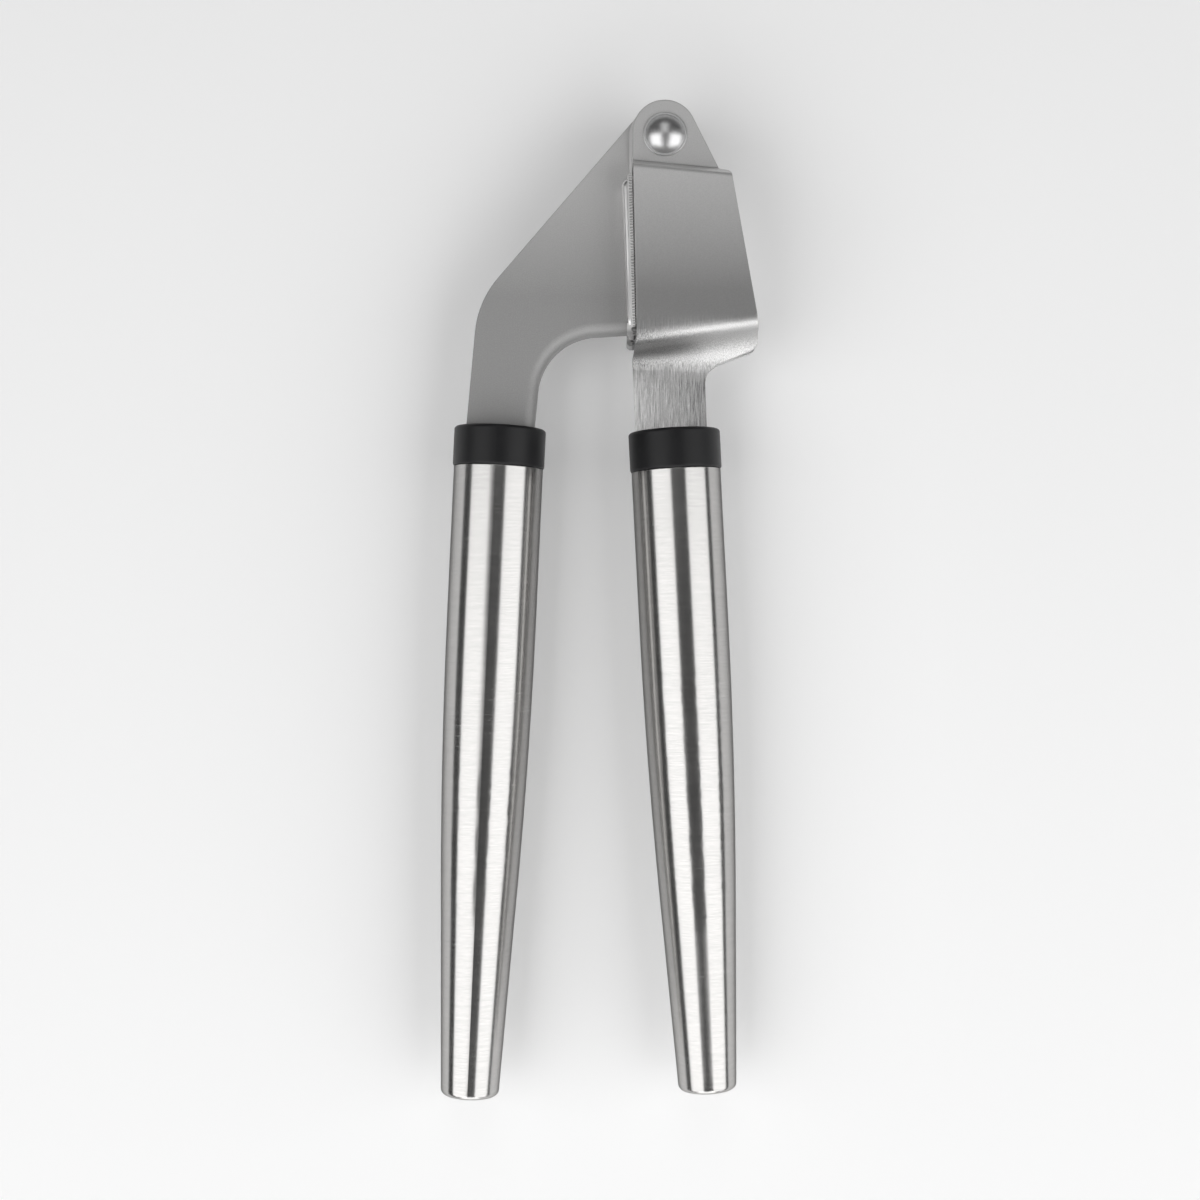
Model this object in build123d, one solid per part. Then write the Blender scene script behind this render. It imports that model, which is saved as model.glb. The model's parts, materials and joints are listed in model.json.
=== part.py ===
from build123d import *
from math import cos, hypot, radians, sin
import os

# Garlic press lying on its rear hopper wall. Millimetres. While it is built, the hinge
# axis is the Z axis, both handles point down -Y and Z = 0 is the mid-plane between the
# two hopper plates. The last step moves the origin to the centre of the base.

# Hopper plates: two pressed sheets, one the mirror image of the other
SHEET = 1.2
EAR_OUTER = 5.7
WALL_OUTER = 11.0
STEP_LEAN = 5.7
STEP_START = 5.4
STEP_END = 7.35
STEP_INNER_RADIUS = 0.4
STEP_OUTER_RADIUS = 1.0
BEND_RADIUS = 2.6
BEND_AT_MIDDLE = -39.05
BEND_RISE = 0.134
BEND_DROP_LEAN = 1.2
SECTION_LEFT = -8.0
SECTION_RIGHT = 20.0
SHELF_RADIUS_LEFT = 2.4
SHELF_RADIUS_RIGHT = 8.0

# Hinge
RIVET_RADIUS = 2.5
RIVET_RIM_RADIUS = 4.1
RIVET_RIM_HEIGHT = 0.4
RIVET_RIM_ROUND = 0.15
RIVET_DOME_RADIUS = 3.75
RIVET_DOME_START = 0.3
RIVET_HEAD_HEIGHT = 2.0
RUNNING_GAP = 0.05
FIXED_GAP = 0.02
ARM_HALF_WIDTH = 3.4
WASHER = (3.45, 3.75)
WASHER_RADIUS = 4.6
BUSHING_RADIUS = 3.6
BUSHING_HALF_LENGTH = 2.35
LUG = (3.8, 4.4)

# Basket and sieve
BASKET_OUTER = 9.6
BASKET_SHEET = 0.8
BASKET_FLOOR_RADIUS = 36.2
BASKET_FLOOR_CORNER = 1.3
BASKET_MOUTH = -6.9
BASKET_TOP = 9.0
BASKET_EDGE = 10.1
TOP_WALL_START = 3.4
RIM_OUTER = 10.8
LIP_GAP = 0.4
NOTCH_GAP = 0.9
SIEVE_LEAN = 10.6
SIEVE_FACE = 8.8
SIEVE_SHEET = 1.0
SIEVE_HOLE_RADIUS = 0.9
SIEVE_PITCH = 2.8
SIEVE_FIRST_ROW = 14.0
SIEVE_ROWS = 8
SIEVE_COLUMNS = (5, 6)

# Plunger
CLOSING_TURN = 10.0
PLUNGER_HALF_WIDTH = 8.4
PLUNGER_SHEET = 0.8
PLUNGER_FACE = 8.4
PLUNGER_TOP = 10.2
PLUNGER_BOTTOM_RADIUS = 35.9
PLUNGER_REAR_HIGH = (-8.2, -8.3)
PLUNGER_REAR_LOW = (-7.2, -35.3)
PLUNGER_CORNER = 1.0
PLUNGER_UPRIGHT_CORNER = 1.5
CROSS_RIVET_RADIUS = 1.5
CROSS_RIVETS = [(-1.5, -19.0), (-1.5, -29.0)]

# Plunger arm
CHANNEL_SHEET = 1.0
CHANNEL_CORNER = 2.0

# Handles
TUBE_RADIUS = 8.48
TUBE_SHEET = 0.8
TUBE_STRAIGHT = 28.0
TUBE_TAPER_START = (84.0, 7.07)
TUBE_END_RADIUS = 5.48
TUBE_END_ROUND = 1.0
END_CAP_RADIUS = 4.2
COLLAR_RADIUS = 8.7
COLLAR_HEIGHT = 7.6
COLLAR_ROUND = 0.6
SPIGOT_LENGTH = 5.0
SPIGOT_OVERLAP = 0.5
CORE_LENGTH = 26.0
TAIL_WIDTH = 8.0
TAIL_LENGTH = 18.0
TAIL_TOP = 4.0
TANG_PIN_RADIUS = 1.0
TANG_PIN_DEPTH = 12.0
LEFT_HANDLE_AT = (-31.57, -62.1)
LEFT_HANDLE_LEAN = -2.6
LEFT_TUBE_LENGTH = 118.8
RIGHT_HANDLE_AT = (2.2, -62.7)
RIGHT_HANDLE_LEAN = 2.9
RIGHT_TUBE_LENGTH = 117.05

# Reach of construction shapes past the press, and past the plunger
FAR = 90.0
WIDE = 20.0


def rounded_face(corners):
    """Closed outline with a radius at each corner, given as (x, y, radius)."""
    face = make_face(Polyline(*[(x, y) for x, y, _ in corners], close=True))
    for x, y, radius in corners:
        if radius:
            corner = face.vertices().sort_by_distance((x, y, 0))[0]
            face = fillet(corner, radius)
    return face


def inset_path(path, inset):
    """Move an open path of (x, y, radius) points to its right-hand side by inset."""
    normals = []
    for (x0, y0, _), (x1, y1, _) in zip(path, path[1:]):
        length = hypot(x1 - x0, y1 - y0)
        normals.append(((y1 - y0) / length, -(x1 - x0) / length))
    normals = [normals[0]] + normals + [normals[-1]]
    moved = []
    for (x, y, radius), before, after in zip(path, normals, normals[1:]):
        share = 1 + before[0] * after[0] + before[1] * after[1]
        across = (before[0] + after[0]) / share
        up = (before[1] + after[1]) / share
        turn = before[0] * after[1] - before[1] * after[0]
        new_radius = max(radius - inset, 0) if turn < 0 else radius + inset
        moved.append((x + inset * across, y + inset * up, new_radius if radius else 0))
    return moved


def under_path(path):
    """Face between an open path and a base line well below the mid-plane."""
    base = -2 * WALL_OUTER
    return rounded_face(path + [(path[-1][0], base, 0), (path[0][0], base, 0)])


def down(lean):
    """Unit vector that points down, turned by lean degrees: positive swings it right."""
    return (sin(radians(lean)), -cos(radians(lean)))


def at_distance(lean, distance, along):
    """Point at a distance from the hinge, right of a line that leans by lean degrees."""
    sideways = (cos(radians(lean)), sin(radians(lean)))
    downward = down(lean)
    return (
        distance * sideways[0] + along * downward[0],
        distance * sideways[1] + along * downward[1],
    )


def below_step(depth, x):
    """Y of the line parallel to the step, depth below the hinge, at a given X."""
    return -(depth + x * sin(radians(STEP_LEAN))) / cos(radians(STEP_LEAN))


def step_form(inset):
    """Everything inside the ear, step and wall surface, moved in by inset."""
    path = [
        (-FAR, EAR_OUTER, 0),
        (STEP_START, EAR_OUTER, STEP_INNER_RADIUS),
        (STEP_END, WALL_OUTER, STEP_OUTER_RADIUS),
        (FAR, WALL_OUTER, 0),
    ]
    across = (cos(radians(STEP_LEAN)), -sin(radians(STEP_LEAN)), 0)
    plane = Plane(origin=(0, 0, 0), x_dir=(*down(-STEP_LEAN), 0), z_dir=tuple(-c for c in across))
    return extrude(plane * under_path(inset_path(path, inset)), amount=FAR, both=True)


def bend_section(x, shelf_radius, inset):
    """Section of the wall, bend, steep drop, shelf and tang at one X."""
    bend = BEND_AT_MIDDLE + BEND_RISE * x
    path = [
        (-FAR, SHEET, 0),
        (bend - BEND_DROP_LEAN, SHEET, shelf_radius),
        (bend, WALL_OUTER, BEND_RADIUS),
        (FAR, WALL_OUTER, 0),
    ]
    plane = Plane(origin=(x, 0, 0), x_dir=(0, 1, 0), z_dir=(1, 0, 0))
    return plane * under_path(inset_path(path, inset))


def bend_form(inset):
    """Everything inside the wall, bend, shelf and tang surface, moved in by inset."""
    left = bend_section(SECTION_LEFT, SHELF_RADIUS_LEFT, inset)
    right = bend_section(SECTION_RIGHT, SHELF_RADIUS_RIGHT, inset)
    return loft(Sketch() + [left, right], ruled=True)


def plate_outline():
    """Outline of a hopper plate, seen along the hinge."""
    return rounded_face([
        (-6.05, 25.7, 5.95),
        (10.1, -6.5, 0.5),
        (11.85, -6.9, 1.0),
        (17.7, -39.6, 1.8),
        (7.6, -43.5, 4.2),
        (8.2, -59.0, 0),
        (-5.3, -59.0, 0),
        (-6.1, -41.6, 1.0),
        (-5.4, -38.8, 1.0),
        (-6.05, -7.0, 0),
    ])


def handle_plane(point, lean):
    """Frame of a handle: Z up along its axis from the collar's lower rim."""
    upward = tuple(-c for c in down(lean))
    return Plane(origin=(*point, 0), x_dir=(0, 0, 1), z_dir=(*upward, 0))


def tail(plane, low, high):
    """Narrow end of a tang inside a handle, between two heights above the mid-plane."""
    size = high - low
    height = TAIL_TOP + TAIL_LENGTH
    middle = ((low + high) / 2, 0, (TAIL_TOP - TAIL_LENGTH) / 2)
    return plane * Pos(*middle) * Box(size, TAIL_WIDTH, height)


def tang_pin(plane, radius=TANG_PIN_RADIUS):
    """Cross pin through a tang and its core."""
    length = 2 * (TUBE_RADIUS - 2 * TUBE_SHEET)
    return plane * Pos(0, 0, -TANG_PIN_DEPTH) * Rot(0, 90, 0) * Cylinder(radius, length)


def hopper_plate(plane):
    """Front half of the hopper arm."""
    outer = step_form(0) & bend_form(0)
    inner = step_form(SHEET) & bend_form(SHEET)
    blank = extrude(plate_outline(), amount=WALL_OUTER + SHEET)
    plate = (outer - inner) & blank
    plate += tail(plane, 0, SHEET)
    plate -= Cylinder(RIVET_RADIUS + FIXED_GAP, 4 * WALL_OUTER)
    return plate - tang_pin(plane, TANG_PIN_RADIUS + FIXED_GAP)


def hinge_rivet():
    """Shank with a domed head on each side."""
    rim = Pos(0, 0, EAR_OUTER + RIVET_RIM_HEIGHT / 2) * Cylinder(RIVET_RIM_RADIUS, RIVET_RIM_HEIGHT)
    rim = fillet(rim.edges().filter_by(GeomType.CIRCLE).group_by(Axis.Z)[-1], RIVET_RIM_ROUND)
    rise = RIVET_HEAD_HEIGHT - RIVET_DOME_START
    sphere_radius = (RIVET_DOME_RADIUS**2 + rise**2) / (2 * rise)
    top = EAR_OUTER + RIVET_HEAD_HEIGHT
    disc = Pos(0, 0, top - rise / 2) * Cylinder(RIVET_DOME_RADIUS, rise)
    dome = disc & Pos(0, 0, top - sphere_radius) * Sphere(sphere_radius)
    return Cylinder(RIVET_RADIUS, 2 * EAR_OUTER) + both_sides(rim + dome)


def ring(outer, inner, low, high):
    """Flat ring or tube about the hinge."""
    band = Cylinder(outer, high - low) - Cylinder(inner, high - low)
    return Pos(0, 0, (low + high) / 2) * band


def slab(face, low, high):
    """Flat solid between two heights."""
    return Pos(0, 0, low) * extrude(face, amount=high - low)


def both_sides(part):
    """A piece and its mirror image across the mid-plane."""
    return part + mirror(part, about=Plane.XY)


def basket_side_face():
    """Side wall of the basket, from the mouth to the sieve."""
    outlet = SIEVE_FACE + SIEVE_SHEET
    floor = BASKET_FLOOR_RADIUS + BASKET_SHEET
    corners = [
        (BASKET_MOUTH, below_step(BASKET_EDGE, BASKET_MOUTH), 0),
        (TOP_WALL_START, below_step(BASKET_EDGE, TOP_WALL_START), 0),
        (TOP_WALL_START, below_step(BASKET_TOP, TOP_WALL_START), 0),
        (2 * outlet, below_step(BASKET_TOP, 2 * outlet), 0),
        (2 * outlet, -FAR, 0),
        (BASKET_MOUTH, -FAR, 0),
    ]
    side = rounded_face(corners) & Circle(floor)
    return side & outlet_half_plane(outlet)


def outlet_half_plane(distance):
    """Everything left of a line parallel to the sieve."""
    top = at_distance(SIEVE_LEAN, distance, -FAR)
    bottom = at_distance(SIEVE_LEAN, distance, FAR)
    return rounded_face([(*top, 0), (*bottom, 0), (-FAR, bottom[1], 0), (-FAR, top[1], 0)])


def basket_shell():
    """Side walls, floor and the short top wall, open at the mouth and the outlet."""
    side = basket_side_face()
    block = extrude(side, amount=BASKET_OUTER, both=True)
    edges = block.edges().filter_by(GeomType.CIRCLE)
    block = fillet(edges, BASKET_FLOOR_CORNER)
    hollow_width = BASKET_OUTER - BASKET_SHEET
    hollow_face = rounded_face([
        (-FAR, below_step(BASKET_TOP + BASKET_SHEET, -FAR), 0),
        (FAR, below_step(BASKET_TOP + BASKET_SHEET, FAR), 0),
        (FAR, -FAR, 0),
        (-FAR, -FAR, 0),
    ])
    hollow = extrude(hollow_face & Circle(BASKET_FLOOR_RADIUS), amount=hollow_width, both=True)
    return block - hollow


def basket_rim():
    """Turned-out rim at the mouth, with the straps that join it to the hinge lugs."""
    low = BASKET_OUTER - BASKET_SHEET
    rim = rounded_face([
        (-6.75, -6.0, 0.2),
        (-6.3, -6.0, 0),
        (-5.64, -36.9, 0),
        (-6.42, -36.9, 0.3),
        (-7.12, -9.0, 0.4),
        (-6.75, -8.4, 0),
    ])
    strap = rounded_face([(-6.75, -6.0, 0), (-6.3, -6.0, 0), (-6.3, -7.2, 0), (-6.75, -7.2, 0)])
    lip = rounded_face([
        (-7.15, -35.9, 0),
        (-6.35, -35.9, 0),
        (-6.35, -37.45, 0.3),
        (-5.6, -37.45, 0.2),
        (-5.6, -38.3, 0.2),
        (-7.15, -38.3, 0.8),
    ])
    lug = rounded_face([
        (-6.75, 5.2, 5.0),
        (5.2, 5.2, 5.1),
        (5.2, -5.2, 4.0),
        (-6.3, -7.2, 0),
        (-6.75, -7.2, 0),
    ])
    side = slab(rim, low, RIM_OUTER) + slab(strap, LUG[0], low)
    side += slab(lip, ARM_HALF_WIDTH + LIP_GAP, low) + slab(lug, *LUG)
    return side - Cylinder(RIVET_RADIUS + RUNNING_GAP, 4 * WALL_OUTER)


def basket_frame():
    """Swing-out basket: shell, rim and lugs, notched in the floor for the plunger arm."""
    notch = Pos(-6.0, -38.0, 0) * Box(17.0, 8.0, 2 * (ARM_HALF_WIDTH + NOTCH_GAP))
    return basket_shell() - notch + both_sides(basket_rim())


def sieve_plate():
    """Perforated plate that closes the basket's outlet."""
    gap = FIXED_GAP
    span = outlet_half_plane(SIEVE_FACE + SIEVE_SHEET) - outlet_half_plane(SIEVE_FACE)
    window = rounded_face([
        (0, below_step(BASKET_TOP + BASKET_SHEET + gap, 0), 0),
        (FAR, below_step(BASKET_TOP + BASKET_SHEET + gap, FAR), 0),
        (FAR, -FAR, 0),
        (0, -FAR, 0),
    ])
    section = span & window & Circle(BASKET_FLOOR_RADIUS - gap)
    width = BASKET_OUTER - BASKET_SHEET - gap
    plate = extrude(section, amount=width, both=True)
    holes = Part()
    for row in range(SIEVE_ROWS):
        along = SIEVE_FIRST_ROW + row * SIEVE_PITCH
        x, y = at_distance(SIEVE_LEAN, SIEVE_FACE, along)
        columns = SIEVE_COLUMNS[row % 2]
        for column in range(columns):
            z = (column - (columns - 1) / 2) * SIEVE_PITCH
            hole = Rot(0, 90, 0) * Cylinder(SIEVE_HOLE_RADIUS, 4 * SIEVE_SHEET)
            holes += Pos(x, y, z) * Rot(0, 0, SIEVE_LEAN) * hole
    return plate - holes


def turned_open(point):
    """Place a point of the closed press where it is at rest."""
    turn = radians(-CLOSING_TURN)
    x, y = point
    return (x * cos(turn) - y * sin(turn), x * sin(turn) + y * cos(turn))


def plunger_outline(inset):
    """Side view of the plunger box, moved in by inset on every side."""
    lean = SIEVE_LEAN - CLOSING_TURN
    face = PLUNGER_FACE - inset
    top = PLUNGER_TOP + inset
    closed_right = (WIDE, below_step(top, WIDE))
    closed_left = (-WIDE, below_step(top, -WIDE))
    rear_x, rear_y = PLUNGER_REAR_HIGH
    rear_slope = (PLUNGER_REAR_LOW[0] - rear_x) / (rear_y - PLUNGER_REAR_LOW[1])
    region = rounded_face([
        (*turned_open(closed_left), 0),
        (*turned_open(closed_right), 0),
        (WIDE, -FAR, 0),
        (-WIDE, -FAR, 0),
    ])
    left_top = (rear_x + inset + rear_slope * (rear_y - FAR), FAR)
    left_bottom = (rear_x + inset + rear_slope * (rear_y + FAR), -FAR)
    right_top = at_distance(lean, face, -FAR)
    right_bottom = at_distance(lean, face, FAR)
    band = rounded_face([(*left_top, 0), (*right_top, 0), (*right_bottom, 0), (*left_bottom, 0)])
    return region & band & Circle(PLUNGER_BOTTOM_RADIUS - inset)


def plunger_box():
    """Hollow folded plunger, slotted where the arm enters it."""
    block = slab(plunger_outline(0), -PLUNGER_HALF_WIDTH, PLUNGER_HALF_WIDTH)
    block = fillet(block.edges().filter_by(Axis.Z), PLUNGER_UPRIGHT_CORNER)
    block = fillet(block.faces().filter_by(Axis.Z).edges(), PLUNGER_CORNER)
    width = PLUNGER_HALF_WIDTH - PLUNGER_SHEET
    hollow = extrude(plunger_outline(PLUNGER_SHEET), amount=width, both=True)
    slot = extrude(arm_outline(), amount=ARM_HALF_WIDTH + FIXED_GAP, both=True)
    return block - hollow - slot - cross_rivets(CROSS_RIVET_RADIUS + FIXED_GAP)


def cross_rivets(radius=CROSS_RIVET_RADIUS):
    """Two flush rivets across the plunger box and the arm."""
    rivets = Part()
    for x, y in CROSS_RIVETS:
        rivets += Pos(x, y, 0) * Cylinder(radius, 2 * PLUNGER_HALF_WIDTH)
    return rivets


def arm_outline():
    """Outline of the plunger arm, seen along the hinge."""
    return rounded_face([
        (-0.45, 9.55, 5.6),
        (6.2, -2.0, 4.5),
        (0.6, -10.6, 1.0),
        (5.0, -18.0, 1.0),
        (5.0, -33.2, 1.0),
        (-4.2, -34.2, 1.0),
        (-4.8, -36.5, 0),
        (-23.1, -37.7, 11.5),
        (-25.1, -58.5, 0),
        (-37.8, -58.5, 0),
        (-35.27, -30.85, 18.0),
    ])


def channel_hollow():
    """Space inside the folded channel: open along the outer edge, shut along the inner."""
    return rounded_face([
        (-3.6, 12.0, 0),
        (4.4, 3.0, 2.0),
        (4.4, -3.0, 2.0),
        (-1.0, -10.8, 1.0),
        (3.6, -18.4, 1.0),
        (3.6, -31.8, 1.0),
        (-5.0, -33.0, 1.0),
        (-5.6, -35.5, 0),
        (-24.0, -36.7, 12.5),
        (-26.0, -57.0, 0),
        (-60.0, -57.0, 0),
        (-60.0, -30.0, 0),
        (-33.0, 0.0, 0),
    ])


def folded(outline, folds, half_width, radius):
    """Slab rounded along the edges that pass nearest to the given points."""
    block = extrude(outline, amount=half_width, both=True)
    edges = ShapeList()
    for point in folds:
        for height in (-half_width, half_width):
            edges.append(block.edges().sort_by_distance((*point, height))[0])
    return fillet(edges, radius)


def plunger_arm(plane):
    """Sheet folded round its inner edge, from the hinge to the tang."""
    folds = [(-9.0, -36.8), (-20.6, -40.3), (-24.5, -52.0)]
    inner_folds = [(-9.0, -35.8), (-21.4, -39.6), (-25.5, -52.0)]
    arm = folded(arm_outline(), folds, ARM_HALF_WIDTH, CHANNEL_CORNER)
    inner_width = ARM_HALF_WIDTH - CHANNEL_SHEET
    arm -= folded(channel_hollow(), inner_folds, inner_width, CHANNEL_CORNER - CHANNEL_SHEET)
    arm += tail(plane, -ARM_HALF_WIDTH, ARM_HALF_WIDTH)
    arm -= Cylinder(RIVET_RADIUS + RUNNING_GAP, 4 * WALL_OUTER)
    arm -= cross_rivets(CROSS_RIVET_RADIUS + FIXED_GAP)
    return arm - tang_pin(plane, TANG_PIN_RADIUS + FIXED_GAP)


def tube_profile(length, inset):
    """Half section of the handle tube's surface, radius against height."""
    start = (TUBE_RADIUS - inset, 0)
    straight = (TUBE_RADIUS - inset, -TUBE_STRAIGHT)
    taper = (TUBE_TAPER_START[1] - inset, -TUBE_TAPER_START[0])
    end_height = -length + inset
    end = (TUBE_END_RADIUS - inset, end_height)
    return make_face([
        Line((0, 0), start),
        Line(start, straight),
        TangentArc(straight, taper, tangent=(0, -1)),
        Line(taper, end),
        Line(end, (0, end_height)),
        Line((0, end_height), (0, 0)),
    ])


def handle_tube(plane, length):
    """Tapered tube with a rounded end that is left open for the end cap."""
    outer = revolve(Plane.XZ * tube_profile(length, 0), axis=Axis.Z)
    rim = outer.edges().filter_by(GeomType.CIRCLE).group_by(Axis.Z)[0]
    outer = fillet(rim, TUBE_END_ROUND)
    inner = revolve(Plane.XZ * tube_profile(length, TUBE_SHEET), axis=Axis.Z)
    mouth = Pos(0, 0, -length) * Cylinder(END_CAP_RADIUS, 4 * TUBE_SHEET)
    return plane * (outer - inner - mouth)


def end_cap(plane, length):
    """Disc welded flush into the end of the tube."""
    disc = Cylinder(END_CAP_RADIUS - FIXED_GAP, TUBE_SHEET)
    return plane * Pos(0, 0, -length + TUBE_SHEET / 2) * disc


def collar(plane, tang):
    """Plastic collar on the end of the tube, with a spigot inside it."""
    ring_part = Pos(0, 0, COLLAR_HEIGHT / 2) * Cylinder(COLLAR_RADIUS, COLLAR_HEIGHT)
    ring_part = fillet(ring_part.edges().filter_by(GeomType.CIRCLE), COLLAR_ROUND)
    spigot_radius = TUBE_RADIUS - TUBE_SHEET - FIXED_GAP
    spigot_middle = (SPIGOT_OVERLAP - SPIGOT_LENGTH) / 2
    spigot = Pos(0, 0, spigot_middle) * Cylinder(spigot_radius, SPIGOT_LENGTH + SPIGOT_OVERLAP)
    return plane * (ring_part + spigot) - tang


def tang_core(plane, tang):
    """Plastic filler that holds the tang in the tube."""
    radius = TUBE_RADIUS - TUBE_SHEET - FIXED_GAP
    middle = -SPIGOT_LENGTH - CORE_LENGTH / 2
    core = plane * Pos(0, 0, middle) * Cylinder(radius, CORE_LENGTH)
    return core - tang - tang_pin(plane, TANG_PIN_RADIUS + FIXED_GAP)


def handle(side, plane, length, tang):
    """The five pieces of one handle, by node name."""
    return {
        side + "_handle_tube": handle_tube(plane, length),
        side + "_end_cap": end_cap(plane, length),
        side + "_collar": collar(plane, tang),
        side + "_tang_core": tang_core(plane, tang),
        side + "_tang_pin": tang_pin(plane),
    }


def tang_space(outline, half_width, plane):
    """Space that a tang fills, with a hair of room, for its collar and core."""
    room = half_width + FIXED_GAP
    return extrude(outline, amount=room, both=True) + tail(plane, -room, room)


def garlic_press():
    """Every piece, by node name, about the hinge."""
    left = handle_plane(LEFT_HANDLE_AT, LEFT_HANDLE_LEAN)
    right = handle_plane(RIGHT_HANDLE_AT, RIGHT_HANDLE_LEAN)
    front = hopper_plate(right)
    washer = ring(WASHER_RADIUS, RIVET_RADIUS + FIXED_GAP, *WASHER)
    bushing_ends = (-BUSHING_HALF_LENGTH, BUSHING_HALF_LENGTH)
    bushing = ring(BUSHING_RADIUS, RIVET_RADIUS + RUNNING_GAP, *bushing_ends)
    pieces = {
        "hopper_plate_front": front,
        "hopper_plate_rear": mirror(front, about=Plane.XY),
        "hinge_rivet": hinge_rivet(),
        "hinge_washer_front": washer,
        "hinge_washer_rear": mirror(washer, about=Plane.XY),
        "hinge_bushing": bushing,
        "basket_frame": basket_frame(),
        "sieve_plate": sieve_plate(),
        "plunger_arm": plunger_arm(left),
        "plunger_box": plunger_box(),
        "plunger_rivets": cross_rivets(),
    }
    left_tang = tang_space(arm_outline(), ARM_HALF_WIDTH, left)
    right_tang = tang_space(plate_outline(), SHEET, right)
    pieces.update(handle("left", left, LEFT_TUBE_LENGTH, left_tang))
    pieces.update(handle("right", right, RIGHT_TUBE_LENGTH, right_tang))
    return pieces


def main():
    os.makedirs("parts", exist_ok=True)
    pieces = garlic_press()
    box = Compound(children=[Compound(piece.wrapped) for piece in pieces.values()]).bounding_box()
    hinge_x = -(box.min.X + box.max.X) / 2
    hinge_y = -(box.min.Y + box.max.Y) / 2
    hinge_z = -box.min.Z
    print("hinge at", hinge_x, hinge_y, hinge_z)
    print("size", box.size)
    for node, piece in pieces.items():
        placed = Pos(hinge_x, hinge_y, hinge_z) * piece
        export_step(placed, "parts/" + node + ".step")


main()
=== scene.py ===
import json
import math

import bpy
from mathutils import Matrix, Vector


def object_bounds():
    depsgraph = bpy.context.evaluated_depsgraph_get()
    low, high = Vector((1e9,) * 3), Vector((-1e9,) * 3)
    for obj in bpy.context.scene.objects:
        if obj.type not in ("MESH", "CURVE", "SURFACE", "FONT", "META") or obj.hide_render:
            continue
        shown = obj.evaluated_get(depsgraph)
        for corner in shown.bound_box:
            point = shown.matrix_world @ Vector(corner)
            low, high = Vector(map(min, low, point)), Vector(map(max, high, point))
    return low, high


# Looks of the garlic press: satin pressed sheet, brushed tube handles, black collars.
# Lengths are metres. The press lies on its rear hopper wall and the camera looks down on it.

MM = 0.001

# Camera, measured from the hinge
CAMERA_FROM_HINGE = (-9.5 * MM, -90.75 * MM, 333.3 * MM)
CAMERA_PITCH = math.radians(0.614)
CAMERA_YAW = math.radians(0.472)
CAMERA_LENS = 52.6
SENSOR_WIDTH = 36.0

# Studio: a faintly glowing floor, two long soft boxes left and right of the handles with a
# dark gap straight above, and two panels, past the hinge and past the handles. A soft box is
# its direction and half angle, a panel its tilt, size and radiance. Angles are degrees from
# straight up.
BOX_DISTANCE = 1.0
BOX_NEAR_END = -1.35
BOX_FAR_END = 0.24
LEFT_BOX = (-41.0, 25.5)
RIGHT_BOX = (49.0, 27.0)
BOX_RADIANCE = 1.8
FAR_PANEL = (38.0, (0.45, 0.7), 0.8)
NEAR_PANEL = (-68.0, (0.8, 0.75), 1.9)
ROOM_LIGHT = 0.06
BACKDROP = 0.85

# The floor's glow grows between two distances from its middle.
FLOOR_HALF_SIZE = 6.0
FLOOR_GLOW = 0.10
FAR_GLOW = 0.7
FAR_GLOW_FROM = 0.8
FAR_GLOW_TO = 2.0

# Flat steel: tone and roughness, far from the hinge then near it, the tone carrying a painted shade
# that is darker far from the hinge; the painted side light and shade from left to right; and how
# much the blasted speckle and the brushed streaks change the tone
PLATE_SHADED_TONES = (0.50, 0.66)
PLATE_ROUGHNESS = (0.36, 0.60)
ARM_SHADED_TONES = (0.43, 0.65)
ARM_ROUGHNESS = (0.70, 0.68)
TANG_SIDE_SHADING = -0.14
SHELF_SIDE_SHADING = 0.16
SPECKLE = 0.03
STREAKS = 0.26
FITTING_TONES = (0.6, 0.6)
FITTING_ROUGHNESS = (0.35, 0.35)

# Colours that tones of 0 and 1 of the flat steel stand for
STEEL_RANGE = ((0.0, 0.0, 0.0), (1.0, 0.995, 0.99))

# Tones of the other materials, dark then light, their roughness, low then high, and their gloss
TUBE_TONES = ((0.46, 0.455, 0.447), (0.61, 0.60, 0.59))
TUBE_ROUGHNESS = (0.20, 0.27)
TUBE_EDGE_TINT = (0.3, 0.3, 0.3, 1)
TUBE_ANISOTROPY = 0.75
QUARTER_TURN = 0.25
COLLAR_TONES = ((0.006, 0.006, 0.007), (0.012, 0.012, 0.013))
COLLAR_ROUGHNESS = (0.38, 0.46)
COLLAR_SPECULAR = 0.3
RIVET_TONES = ((0.60, 0.60, 0.60), (0.74, 0.74, 0.74))
RIVET_ROUGHNESS = (0.33, 0.37)
BASKET_TONES = ((0.25, 0.248, 0.245), (0.92, 0.915, 0.91))
BASKET_ROUGHNESS = (0.40, 0.50)
PLUNGER_TONES = ((0.70, 0.695, 0.69), (0.86, 0.855, 0.85))
PLUNGER_ROUGHNESS = (0.28, 0.34)
FILLER_TONES = ((0.04, 0.04, 0.04), (0.07, 0.07, 0.07))
FILLER_ROUGHNESS = (0.5, 0.6)
FLOOR_TONES = ((0.86, 0.86, 0.86), (0.88, 0.88, 0.88))
FLOOR_ROUGHNESS = 0.9

# Radius that each material's sharp edges are rounded by
SATIN_EDGE = 0.30 * MM
TUBE_EDGE = 0.15 * MM
COLLAR_EDGE = 0.25 * MM
RIVET_EDGE = 0.06 * MM
THIN_SHEET_EDGE = 0.12 * MM

# Where the finish, the painted light and shade and the basket's darker low end change. Heights are
# along Y and sides along X, both from the hinge.
SHADE_AND_SATIN_LOW = -30 * MM
SHADE_AND_SATIN_HIGH = -8 * MM
TANG_TOP = -37 * MM
TANG_LEFT = -5 * MM
TANG_RIGHT = 8 * MM
SHELF_TOP = -42 * MM
SHELF_FOOT = -46 * MM
STRAP_TOP = -8 * MM
STRAP_FOOT = -10 * MM
LIP_TOP = -36.8 * MM
LIP_FOOT = -37.6 * MM

# The brushing of the tang, and the painted side light and shade with it, fade out from under its
# top to over it.
BRUSHING_UNDER = 1.5 * MM
BRUSHING_OVER = 2.5 * MM

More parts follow.
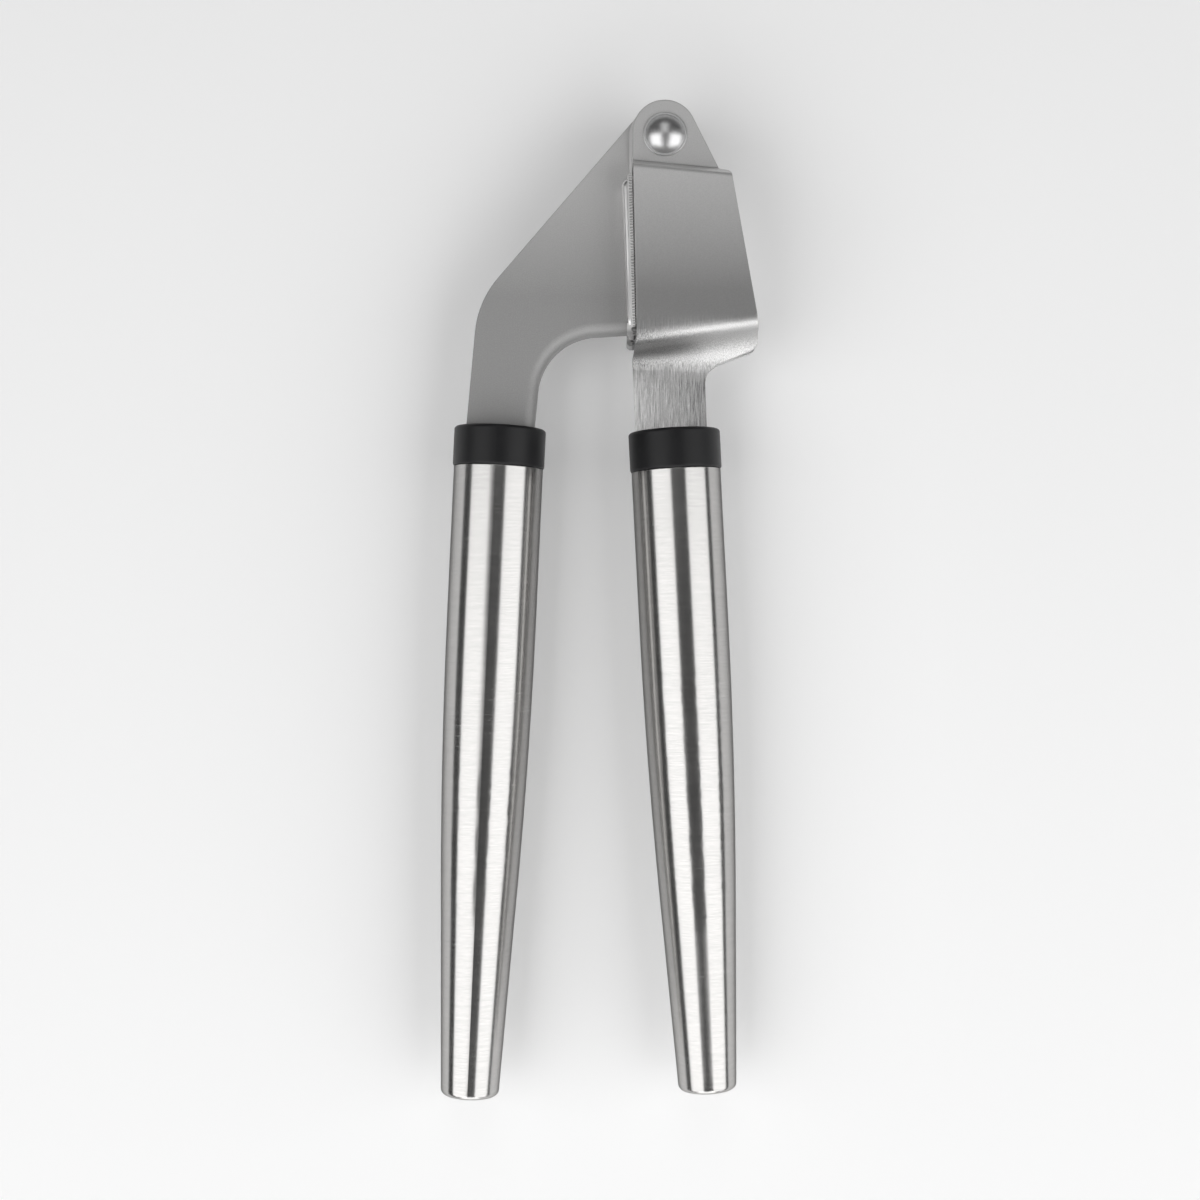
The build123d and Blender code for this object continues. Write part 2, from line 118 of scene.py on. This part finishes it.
# The basket's rim leans. Its inner half, right of its middle line, is ticked.
RIM_LEAN = 0.027
RIM_MIDDLE = -7.14 * MM
RIM_HALF = 0.75 * MM
TICK_BORDER = 0.03 * MM

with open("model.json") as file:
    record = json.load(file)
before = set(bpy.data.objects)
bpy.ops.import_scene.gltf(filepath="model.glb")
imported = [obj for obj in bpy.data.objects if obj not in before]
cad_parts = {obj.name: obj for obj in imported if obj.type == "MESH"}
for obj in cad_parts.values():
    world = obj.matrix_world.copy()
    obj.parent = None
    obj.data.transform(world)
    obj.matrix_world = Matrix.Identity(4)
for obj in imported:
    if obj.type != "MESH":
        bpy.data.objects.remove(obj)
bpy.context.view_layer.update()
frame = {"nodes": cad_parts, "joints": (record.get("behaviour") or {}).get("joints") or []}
hinge = Vector(frame["joints"][0]["pos_m"])


# ---------------------------------------------------------------- node helpers

class Nodes:
    """Small helper that builds one material's node tree."""

    def __init__(self, name):
        self.material = bpy.data.materials.new(name)
        self.material.use_nodes = True
        self.tree = self.material.node_tree
        self.tree.nodes.clear()
        self.output = self.add("ShaderNodeOutputMaterial")
        self.shader = self.add("ShaderNodeBsdfPrincipled")
        self.link(self.shader.outputs["BSDF"], self.output.inputs["Surface"])
        self.place = self.add("ShaderNodeTexCoord").outputs["Object"]

    def add(self, kind, **settings):
        """A node with some settings of its own."""
        node = self.tree.nodes.new(kind)
        for key, value in settings.items():
            setattr(node, key, value)
        return node

    def link(self, source, target):
        self.tree.links.new(source, target)

    def stretched(self, scale):
        """Object coordinates, scaled apart along X, Y and Z."""
        mapping = self.add("ShaderNodeMapping")
        mapping.inputs["Scale"].default_value = scale
        self.link(self.place, mapping.inputs["Vector"])
        return mapping.outputs["Vector"]

    def noise(self, vector, scale, detail=3.0, roughness=0.5):
        """Noise from 0 to 1 at a place."""
        node = self.add("ShaderNodeTexNoise")
        node.inputs["Scale"].default_value = scale
        node.inputs["Detail"].default_value = detail
        node.inputs["Roughness"].default_value = roughness
        self.link(vector, node.inputs["Vector"])
        return node.outputs["Fac"]

    def spread(self, value, low, high, from_low=0.3, from_high=0.7):
        """Map a value from one range to another, clamped; the default range suits noise."""
        node = self.add("ShaderNodeMapRange")
        node.inputs["From Min"].default_value = from_low
        node.inputs["From Max"].default_value = from_high
        node.inputs["To Min"].default_value = low
        node.inputs["To Max"].default_value = high
        self.link(value, node.inputs["Value"])
        return node.outputs["Result"]

    def math(self, operation, first, second):
        """Sum, difference or product of two sockets or numbers."""
        node = self.add("ShaderNodeMath", operation=operation)
        for socket, value in zip(node.inputs, (first, second)):
            if isinstance(value, (int, float)):
                socket.default_value = value
            else:
                self.link(value, socket)
        return node.outputs["Value"]

    def two_tones(self, value, low, high):
        """Colour between two tones."""
        ramp = self.add("ShaderNodeValToRGB")
        ramp.color_ramp.elements[0].color = (*low, 1)
        ramp.color_ramp.elements[1].color = (*high, 1)
        self.link(value, ramp.inputs["Fac"])
        return ramp.outputs["Color"]

    def edge_normal(self, radius):
        """Normal with sharp edges rounded off."""
        bevel = self.add("ShaderNodeBevel", samples=6)
        bevel.inputs["Radius"].default_value = radius
        return bevel.outputs["Normal"]

    def bump(self, height, distance, strength=1.0, normal=None):
        """Normal with a height added, on top of another normal if one is given."""
        node = self.add("ShaderNodeBump")
        node.inputs["Strength"].default_value = strength
        node.inputs["Distance"].default_value = distance
        self.link(height, node.inputs["Height"])
        if normal is not None:
            self.link(normal, node.inputs["Normal"])
        return node.outputs["Normal"]

    def wave(self, vector, scale, distortion):
        """Bands across Y."""
        node = self.add("ShaderNodeTexWave", bands_direction="Y")
        node.inputs["Scale"].default_value = scale
        node.inputs["Distortion"].default_value = distortion
        node.inputs["Detail"].default_value = 2.0
        self.link(vector, node.inputs["Vector"])
        return node.outputs["Fac"]


def steel(name, edge):
    """Nodes of a metal, and its normal with sharp edges rounded by a radius."""
    nodes = Nodes(name)
    nodes.shader.inputs["Metallic"].default_value = 1.0
    return nodes, nodes.edge_normal(edge)


# ---------------------------------------------------------------- materials

def satin_sheet(name, roughness, tones, brushed_below=None):
    """Fine blasted steel; roughness and a painted shade in the tone run from far from the hinge to
    near it.

    Below a height along Y, if one is given, the sheet is brushed along Y. There painted light and
    shade make the right of the shelf and the left of the tang below it brighter, their other sides
    darker.
    """
    nodes, edge = steel(name, SATIN_EDGE)
    place = nodes.add("ShaderNodeSeparateXYZ")
    nodes.link(nodes.place, place.inputs["Vector"])
    height = place.outputs["Y"]
    ends = (hinge.y + SHADE_AND_SATIN_LOW, hinge.y + SHADE_AND_SATIN_HIGH)
    cloud = nodes.noise(nodes.place, 70.0, 3.0, 0.5)
    grain = nodes.noise(nodes.place, 5200.0, 2.0, 0.6)
    streak = nodes.noise(nodes.stretched((6500.0, 260.0, 6500.0)), 1.0, 4.0, 0.7)
    low, high = tones
    # Painted shade: the tone is darker far from the hinge and lighter near it.
    shaded_base = nodes.spread(height, low, high, *ends)
    if brushed_below is None:
        brushing = nodes.spread(cloud, 0.01, 0.03)
    else:
        brushing = nodes.spread(height, 1.0, 0.02,
                                brushed_below - BRUSHING_UNDER, brushed_below + BRUSHING_OVER)
        # Painted light and shade: the left of the tang and the right of the shelf brighter, their
        # other sides darker; turn sets its sign and strength along Y.
        across = nodes.spread(place.outputs["X"], -1.0, 1.0,
                              hinge.x + TANG_LEFT, hinge.x + TANG_RIGHT)
        turn = nodes.spread(height, TANG_SIDE_SHADING, SHELF_SIDE_SHADING,
                            hinge.y + SHELF_FOOT, hinge.y + SHELF_TOP)
        uneven_tone = nodes.math("MULTIPLY", nodes.math("MULTIPLY", across, turn), brushing)
        shaded_base = nodes.math("ADD", shaded_base, uneven_tone)
    lines = nodes.math("MULTIPLY", streak, brushing)
    speckle = nodes.math("ADD", nodes.spread(grain, -SPECKLE, SPECKLE),
                         nodes.math("MULTIPLY", nodes.spread(streak, -STREAKS, STREAKS), brushing))
    tone = nodes.math("ADD", shaded_base, speckle)
    nodes.link(nodes.two_tones(tone, *STEEL_RANGE), nodes.shader.inputs["Base Color"])
    matt = nodes.spread(height, *roughness, *ends)
    nodes.link(nodes.math("ADD", matt, nodes.spread(cloud, -0.01, 0.01)),
               nodes.shader.inputs["Roughness"])
    blasted = nodes.bump(grain, 0.006 * MM, 0.5, edge)
    nodes.link(nodes.bump(lines, 0.08 * MM, 1.0, blasted), nodes.shader.inputs["Normal"])
    return nodes.material


def brushed_tube(name):
    """Steel tube with fine grooves around its axis."""
    nodes, edge = steel(name, TUBE_EDGE)
    fine = nodes.noise(nodes.stretched((400.0, 9000.0, 400.0)), 1.0, 3.0, 0.7)
    bands = nodes.noise(nodes.stretched((60.0, 2500.0, 60.0)), 1.0, 4.0, 0.6)
    cloud = nodes.noise(nodes.place, 80.0, 3.0)
    mixed = nodes.math("ADD", nodes.math("MULTIPLY", fine, 0.7), nodes.math("MULTIPLY", bands, 0.3))
    tone = nodes.spread(mixed, 0.0, 1.0)
    nodes.link(nodes.two_tones(tone, *TUBE_TONES), nodes.shader.inputs["Base Color"])
    matt = nodes.math("ADD", nodes.spread(mixed, *TUBE_ROUGHNESS), nodes.spread(cloud, -0.01, 0.02))
    nodes.link(matt, nodes.shader.inputs["Roughness"])
    nodes.shader.inputs["Specular Tint"].default_value = TUBE_EDGE_TINT
    nodes.shader.inputs["Anisotropic"].default_value = TUBE_ANISOTROPY
    nodes.shader.inputs["Anisotropic Rotation"].default_value = QUARTER_TURN
    tangent = nodes.add("ShaderNodeTangent", direction_type="RADIAL", axis="Y")
    nodes.link(tangent.outputs["Tangent"], nodes.shader.inputs["Tangent"])
    nodes.link(nodes.bump(mixed, 0.003 * MM, 0.5, edge), nodes.shader.inputs["Normal"])
    return nodes.material


def black_collar(name):
    """Moulded black plastic with a faint texture."""
    nodes = Nodes(name)
    edge = nodes.edge_normal(COLLAR_EDGE)
    texture = nodes.noise(nodes.place, 3500.0, 3.0, 0.6)
    cloud = nodes.noise(nodes.place, 160.0, 3.0)
    nodes.link(nodes.two_tones(cloud, *COLLAR_TONES), nodes.shader.inputs["Base Color"])
    nodes.link(nodes.spread(cloud, *COLLAR_ROUGHNESS), nodes.shader.inputs["Roughness"])
    nodes.shader.inputs["Specular IOR Level"].default_value = COLLAR_SPECULAR
    nodes.link(nodes.bump(texture, 0.020 * MM, 0.35, edge), nodes.shader.inputs["Normal"])
    return nodes.material


def polished_rivet(name):
    """Half-polished rivet head with faint hairlines."""
    nodes, edge = steel(name, RIVET_EDGE)
    hairline = nodes.noise(nodes.stretched((900.0, 5000.0, 900.0)), 1.0, 3.0, 0.7)
    cloud = nodes.noise(nodes.place, 900.0, 4.0, 0.7)
    nodes.link(nodes.two_tones(cloud, *RIVET_TONES), nodes.shader.inputs["Base Color"])
    nodes.link(nodes.spread(cloud, *RIVET_ROUGHNESS), nodes.shader.inputs["Roughness"])
    nodes.link(nodes.bump(hairline, 0.003 * MM, 0.5, edge), nodes.shader.inputs["Normal"])
    return nodes.material


def cut_sheet(name):
    """Pale satin sheet, with fine cross ticks on the rim and a darker low end."""
    nodes, edge = steel(name, THIN_SHEET_EDGE)
    cloud = nodes.noise(nodes.place, 90.0, 3.0)
    place = nodes.add("ShaderNodeSeparateXYZ")
    nodes.link(nodes.place, place.inputs["Vector"])
    below_strap = nodes.spread(place.outputs["Y"], 1.0, 0.0,
                               hinge.y + STRAP_FOOT, hinge.y + STRAP_TOP)
    lean = nodes.math("MULTIPLY", place.outputs["Y"], RIM_LEAN)
    across = nodes.math("ADD", place.outputs["X"], lean)
    middle = hinge.x + RIM_MIDDLE + hinge.y * RIM_LEAN
    inner_half = nodes.spread(across, 0.0, 1.0, middle - TICK_BORDER, middle + TICK_BORDER)
    rim_end = middle + RIM_HALF
    on_rim = nodes.spread(across, 1.0, 0.0, rim_end - TICK_BORDER, rim_end + TICK_BORDER)
    ticked = nodes.math("MULTIPLY", below_strap, nodes.math("MULTIPLY", inner_half, on_rim))
    ticks = nodes.math("MULTIPLY", nodes.wave(nodes.place, 620.0, 5.0), ticked)
    grain = nodes.noise(nodes.place, 6000.0, 2.0)
    lip = nodes.spread(place.outputs["Y"], 0.5, 0.0, hinge.y + LIP_FOOT, hinge.y + LIP_TOP)
    # Cloudy tone, darker towards the low end of the lip.
    uneven_tone = nodes.math("SUBTRACT", nodes.spread(cloud, 0.7, 0.9), lip)
    tone = nodes.math("SUBTRACT", uneven_tone, nodes.math("MULTIPLY", ticks, 0.6))
    nodes.link(nodes.two_tones(tone, *BASKET_TONES), nodes.shader.inputs["Base Color"])
    nodes.link(nodes.spread(cloud, *BASKET_ROUGHNESS), nodes.shader.inputs["Roughness"])
    rough = nodes.bump(grain, 0.008 * MM, 0.5, edge)
    nodes.link(nodes.bump(ticks, 0.05 * MM, 0.6, rough), nodes.shader.inputs["Normal"])
    return nodes.material


def smooth_sheet(name):
    """Tumbled sheet of the plunger and the sieve, shinier than the plates."""
    nodes, edge = steel(name, THIN_SHEET_EDGE)
    cloud = nodes.noise(nodes.place, 120.0, 3.0)
    grain = nodes.noise(nodes.place, 4000.0, 2.0)
    nodes.link(nodes.two_tones(cloud, *PLUNGER_TONES), nodes.shader.inputs["Base Color"])
    nodes.link(nodes.spread(cloud, *PLUNGER_ROUGHNESS), nodes.shader.inputs["Roughness"])
    nodes.link(nodes.bump(grain, 0.008 * MM, 0.5, edge), nodes.shader.inputs["Normal"])
    return nodes.material


def dark_filler(name):
    """Moulded filler inside the handles."""
    nodes = Nodes(name)
    cloud = nodes.noise(nodes.place, 300.0, 3.0)
    nodes.link(nodes.two_tones(cloud, *FILLER_TONES), nodes.shader.inputs["Base Color"])
    nodes.link(nodes.spread(cloud, *FILLER_ROUGHNESS), nodes.shader.inputs["Roughness"])
    nodes.link(nodes.bump(cloud, 0.05 * MM, 0.4), nodes.shader.inputs["Normal"])
    return nodes.material


def pale_floor(name):
    """Matt pale studio floor that glows more far away."""
    nodes = Nodes(name)
    cloud = nodes.noise(nodes.place, 6.0, 3.0)
    nodes.link(nodes.two_tones(cloud, *FLOOR_TONES), nodes.shader.inputs["Base Color"])
    nodes.shader.inputs["Roughness"].default_value = FLOOR_ROUGHNESS
    nodes.shader.inputs["Emission Color"].default_value = (1, 1, 1, 1)
    distance = nodes.add("ShaderNodeVectorMath", operation="LENGTH")
    nodes.link(nodes.place, distance.inputs[0])
    nodes.link(nodes.spread(distance.outputs["Value"], FLOOR_GLOW, FAR_GLOW,
                            FAR_GLOW_FROM, FAR_GLOW_TO),
               nodes.shader.inputs["Emission Strength"])
    return nodes.material


def paint(names, material):
    """Give CAD nodes the same material."""
    for name in names:
        mesh = frame["nodes"][name].data
        mesh.materials.clear()
        mesh.materials.append(material)


def dress():
    """Materials for every CAD node."""
    plate = satin_sheet("satin_plate", PLATE_ROUGHNESS, PLATE_SHADED_TONES, hinge.y + TANG_TOP)
    paint(["hopper_plate_front", "hopper_plate_rear"], plate)
    paint(["plunger_arm"], satin_sheet("satin_arm", ARM_ROUGHNESS, ARM_SHADED_TONES))
    paint(["basket_frame"], cut_sheet("ticked_basket"))
    paint(["plunger_box", "sieve_plate"], smooth_sheet("smooth_sheet"))
    paint(["left_handle_tube", "right_handle_tube", "left_end_cap", "right_end_cap"],
          brushed_tube("brushed_handle"))
    paint(["left_collar", "right_collar"], black_collar("black_collar"))
    paint(["hinge_rivet"], polished_rivet("polished_rivet"))
    plain = satin_sheet("plain_fittings", FITTING_ROUGHNESS, FITTING_TONES)
    paint(["hinge_washer_front", "hinge_washer_rear", "hinge_bushing", "plunger_rivets",
           "left_tang_pin", "right_tang_pin"], plain)
    paint(["left_tang_core", "right_tang_core"], dark_filler("dark_filler"))


# ---------------------------------------------------------------- studio

def floor():
    """Flat floor under the lowest point of the press."""
    half = FLOOR_HALF_SIZE
    mesh = bpy.data.meshes.new("studio_floor")
    corners = [(-half, -half, 0), (half, -half, 0), (half, half, 0), (-half, half, 0)]
    mesh.from_pydata(corners, [], [(0, 1, 2, 3)])
    mesh.materials.append(pale_floor("pale_floor"))
    plane = bpy.data.objects.new("studio_floor", mesh)
    bpy.context.scene.collection.objects.link(plane)
    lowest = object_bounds()[0].z
    plane.location = (0, 0, lowest)


def area_light(name, place, turn, size, radiance):
    """Rectangular light of a given radiance."""
    light = bpy.data.lights.new(name, "AREA")
    light.shape = "RECTANGLE"
    light.size = size[0]
    light.size_y = size[1]
    light.energy = radiance * math.pi * size[0] * size[1]
    lamp = bpy.data.objects.new(name, light)
    lamp.location = place
    lamp.rotation_euler = turn
    bpy.context.scene.collection.objects.link(lamp)


def soft_box(name, direction, half_angle):
    """Long light beside straight up that spans an angle across the press."""
    angle = math.radians(direction)
    width = 2 * BOX_DISTANCE * math.tan(math.radians(half_angle))
    middle = (BOX_NEAR_END + BOX_FAR_END) / 2
    place = (BOX_DISTANCE * math.sin(angle), middle, BOX_DISTANCE * math.cos(angle))
    area_light(name, place, (0, angle, 0), (width, BOX_FAR_END - BOX_NEAR_END), BOX_RADIANCE)


def panel(name, tilt, size, radiance):
    """Panel over the middle plane of the press, tilted along Y."""
    angle = math.radians(tilt)
    place = (0, BOX_DISTANCE * math.sin(angle), BOX_DISTANCE * math.cos(angle))
    area_light(name, place, (-angle, 0, 0), size, radiance)


def room():
    """Dim room for the metal to reflect, behind a pale backdrop."""
    world = bpy.data.worlds.new("room")
    world.use_nodes = True
    tree = world.node_tree
    background = tree.nodes["Background"]
    background.inputs["Color"].default_value = (1, 1, 1, 1)
    rays = tree.nodes.new("ShaderNodeLightPath")
    strength = tree.nodes.new("ShaderNodeMapRange")
    strength.inputs["To Min"].default_value = ROOM_LIGHT
    strength.inputs["To Max"].default_value = BACKDROP
    tree.links.new(rays.outputs["Is Camera Ray"], strength.inputs["Value"])
    tree.links.new(strength.outputs["Result"], background.inputs["Strength"])
    bpy.context.scene.world = world


def camera():
    """Camera almost straight above the press."""
    data = bpy.data.cameras.new("camera")
    data.sensor_width = SENSOR_WIDTH
    data.lens = CAMERA_LENS
    data.clip_start = 0.01
    eye = bpy.data.objects.new("camera", data)
    eye.location = hinge + Vector(CAMERA_FROM_HINGE)
    eye.rotation_euler = (CAMERA_PITCH, CAMERA_YAW, 0)
    bpy.context.scene.collection.objects.link(eye)
    bpy.context.scene.camera = eye


dress()
floor()
soft_box("left_soft_box", *LEFT_BOX)
soft_box("right_soft_box", *RIGHT_BOX)
panel("far_panel", *FAR_PANEL)
panel("near_panel", *NEAR_PANEL)
room()
camera()
bpy.context.scene.view_settings.view_transform = "Standard"
